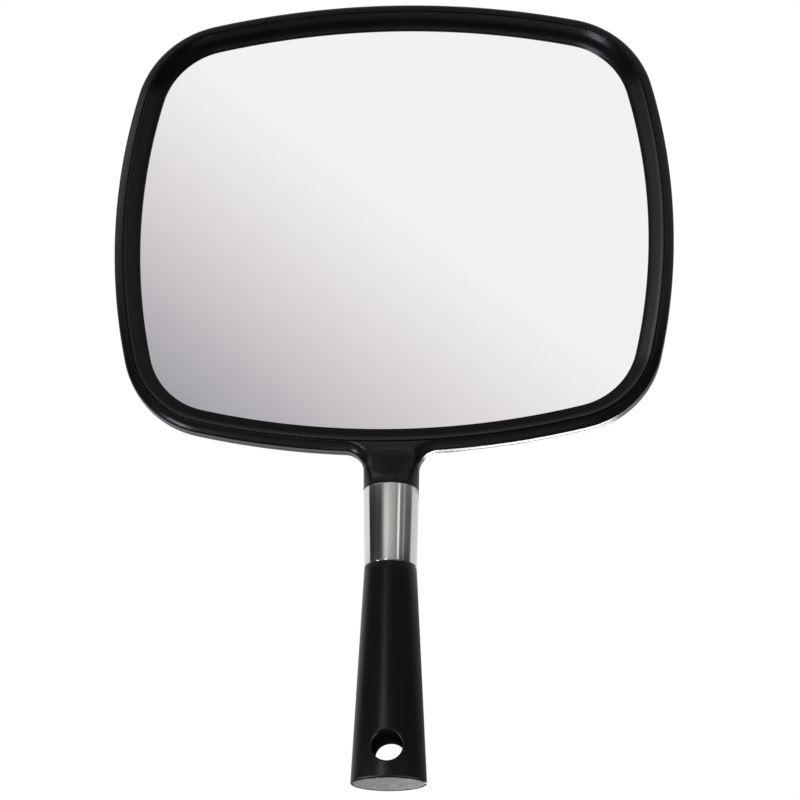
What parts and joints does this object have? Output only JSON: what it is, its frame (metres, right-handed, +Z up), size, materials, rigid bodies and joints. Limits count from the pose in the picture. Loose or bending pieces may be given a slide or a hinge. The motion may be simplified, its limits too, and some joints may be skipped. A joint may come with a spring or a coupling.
{
  "type": "hand mirror",
  "caption": "Salon hand mirror: a wide rounded glass in a black two-shell frame, on a tapered handle with a chrome sleeve and a hanging hole.",
  "frame": {"origin": "on the handle's axis, at the middle of the hand's grip, 50.4 mm above the handle's end", "axes": "+Z up along the handle towards the head, -Y the way the glass faces, +X to the right of someone looking into the glass"},
  "size_m": [0.2286, 0.026, 0.3294],
  "materials": {
    "frame_plastic": "satin black moulded plastic",
    "grip_plastic": "satin black moulded plastic, a little duller than the frame",
    "mirror": "clear silvered glass",
    "sleeve_chrome": "bright polished chrome",
    "cap_plastic": "frosted silver-grey plastic",
    "tang_steel": "bare rolled steel strip",
    "foam": "closed-cell foam sheet",
    "tape": "double-sided foam tape"
  },
  "bodies": {
    "root": {"front_housing": "frame_plastic", "rear_cover": "frame_plastic", "bezel_ring": "frame_plastic", "mirror_glass": "mirror", "foam_pad": "foam", "tape_strip_left": "tape", "tape_strip_middle": "tape", "tape_strip_right": "tape", "tang_bar": "tang_steel", "chrome_ferrule": "sleeve_chrome", "handle_grip": "grip_plastic", "end_cap": "cap_plastic"}
  },
  "joints": []
}
